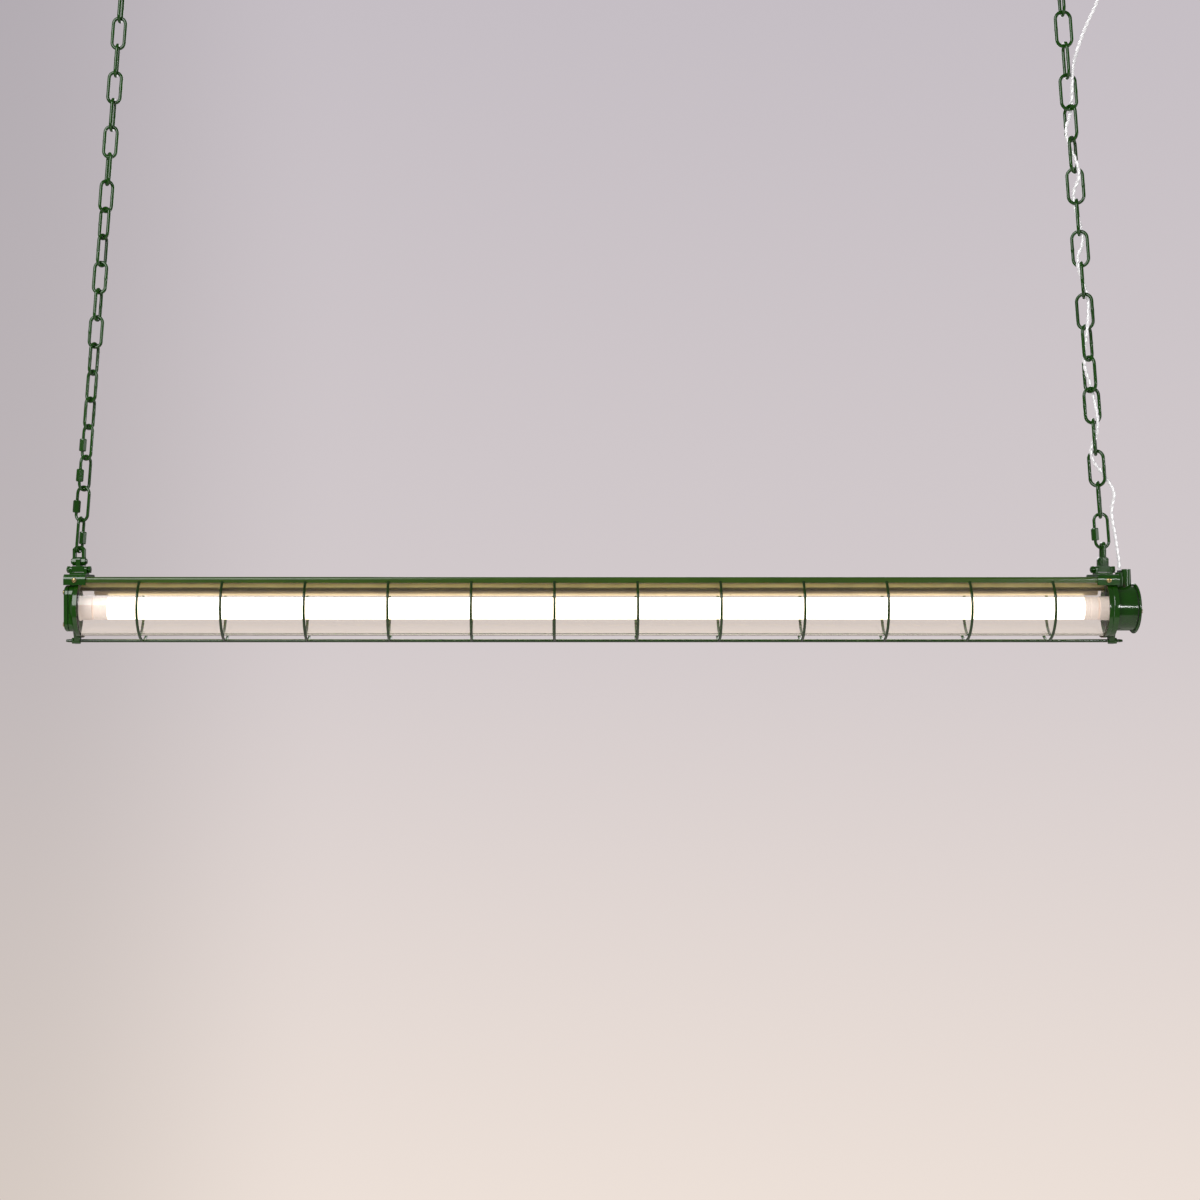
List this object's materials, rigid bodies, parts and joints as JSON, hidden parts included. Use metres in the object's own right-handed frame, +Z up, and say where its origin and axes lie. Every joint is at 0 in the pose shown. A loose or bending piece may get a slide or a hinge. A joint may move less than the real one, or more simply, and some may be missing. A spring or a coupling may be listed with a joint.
{
  "type": "linear cage pendant light",
  "caption": "Ceiling pendant: lit tube lamp inside a clear glass tube with end castings, a steel spine and a wire cage, hung level on chains.",
  "frame": {"origin": "on the ceiling plane, midway between the two screw hooks", "axes": "+X along the light towards its terminal box, +Y away from the viewer, +Z up"},
  "size_m": [1.2842, 0.0822, 0.8573],
  "materials": {
    "green_paint": "glossy green enamel over steel",
    "green_casting": "glossy green enamel over cast aluminium",
    "clear_glass": "clear and polished",
    "black_rubber": "matt",
    "zinc_steel": "zinc plated",
    "brass": "bright",
    "white_plastic": "satin white",
    "lamp_glass": "frosted, lit from inside",
    "aluminium": "satin",
    "clear_cable": "two silvery cores under clear insulation, twisted",
    "lead_insulation": "glossy"
  },
  "bodies": {
    "hooks": {"hook_left": "green_paint", "hook_right": "green_paint", "rose_base": "white_plastic", "rose_cover": "green_paint", "rose_bush": "white_plastic"},
    "suspension": {"left_chain_links": "green_paint", "right_chain_links": "green_paint", "left_quick_links": "green_paint", "right_quick_links": "green_paint", "cord_upper": "clear_cable", "cord_lower": "clear_cable"},
    "fixture": {"spine_channel": "green_paint", "saddle_left": "green_paint", "saddle_right": "green_paint", "hanger_bracket_left": "green_paint", "hanger_bracket_right": "green_paint", "hanger_block_left": "green_paint", "hanger_block_right": "green_paint", "shackle_left": "green_paint", "shackle_right": "green_paint", "hanger_bolts": "green_paint", "hanger_nuts": "green_paint", "hanger_studs": "green_paint", "shackle_pins": "green_paint", "glass_tube": "clear_glass", "glass_gaskets": "black_rubber", "end_casting_left": "green_casting", "end_cover_left": "green_casting", "terminal_box": "green_casting", "terminal_box_cover": "green_casting", "cover_gaskets": "black_rubber", "cover_screws": "zinc_steel", "gland_nut": "green_paint", "gland_seal": "black_rubber", "wire_guard": "green_paint", "tie_rod_nuts": "green_paint", "lampholder_left": "white_plastic", "lampholder_right": "white_plastic", "holder_screws": "zinc_steel", "terminal_block": "white_plastic", "terminal_screws": "brass", "channel_lead": "lead_insulation", "box_leads": "lead_insulation", "channel_screws": "green_paint"},
    "lamp": {"lamp_tube": "lamp_glass", "lamp_board": "white_plastic", "lamp_caps": "aluminium", "lamp_pins": "brass", "holder_rotors": "white_plastic"},
    "left_sleeve_body_1": {"left_sleeve_1": "green_paint"},
    "left_sleeve_body_2": {"left_sleeve_2": "green_paint"},
    "left_sleeve_body_3": {"left_sleeve_3": "green_paint"},
    "left_sleeve_body_4": {"left_sleeve_4": "green_paint"},
    "right_sleeve_body_1": {"right_sleeve_1": "green_paint"}
  },
  "joints": [
    {"name": "chain_swing", "type": "hinge", "parent": "hooks", "child": "suspension", "pos_m": [0.563, 0, -0.036], "axis": [0.9999, 0, 0.0114], "range_deg": [-20, 20], "deforming": ["cord_upper"]},
    {"name": "fixture_tilt", "type": "hinge", "parent": "suspension", "child": "fixture", "pos_m": [0.614, 0, -0.71213], "axis": [1, 0, 0], "range_deg": [-20, 20], "deforming": ["cord_lower"]},
    {"name": "lamp_twist", "type": "hinge", "parent": "fixture", "child": "lamp", "pos_m": [0, 0, -0.78463], "axis": [1, 0, 0], "range_deg": [0, 90]},
    {"name": "left_sleeve_1_slide", "type": "slide", "parent": "suspension", "child": "left_sleeve_body_1", "axis": [0.0767, 0, 0.9971], "range_m": [0, 0.007]},
    {"name": "left_sleeve_2_slide", "type": "slide", "parent": "suspension", "child": "left_sleeve_body_2", "axis": [0.0767, 0, 0.9971], "range_m": [0, 0.007]},
    {"name": "left_sleeve_3_slide", "type": "slide", "parent": "suspension", "child": "left_sleeve_body_3", "axis": [0.0767, 0, 0.9971], "range_m": [0, 0.007]},
    {"name": "left_sleeve_4_slide", "type": "slide", "parent": "suspension", "child": "left_sleeve_body_4", "axis": [0.0767, 0, 0.9971], "range_m": [0, 0.007]},
    {"name": "right_sleeve_1_slide", "type": "slide", "parent": "suspension", "child": "right_sleeve_body_1", "axis": [-0.0752, 0, 0.9972], "range_m": [0, 0.007]}
  ]
}
